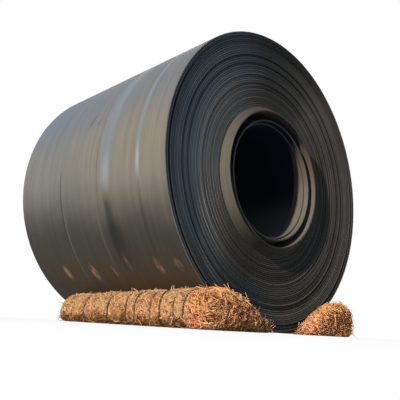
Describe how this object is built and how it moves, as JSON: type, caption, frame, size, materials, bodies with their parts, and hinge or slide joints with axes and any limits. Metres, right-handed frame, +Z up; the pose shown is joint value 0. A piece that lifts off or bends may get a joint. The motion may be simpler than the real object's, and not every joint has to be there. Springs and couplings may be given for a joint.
{
  "type": "steel coil",
  "caption": "Coil of hot-rolled steel strip lying on its side, with a round bore and a dished end of staggered turns, chocked by tied rolls of straw.",
  "frame": {"origin": "on the floor, in the middle of the box round the coil and its straw rolls", "axes": "+Z up, X along the coil's axis, with the dished end and the hub towards +X"},
  "size_m": [1.732, 1.85, 1.85],
  "materials": {
    "mill_scale_steel": "matte mill scale",
    "straw": "rough straw",
    "twine": "rough twine"
  },
  "bodies": {
    "root": {"steel_coil": "mill_scale_steel", "front_straw_roll": "straw", "rear_straw_roll": "straw", "front_straw_ties": "twine", "rear_straw_ties": "twine"}
  },
  "joints": []
}
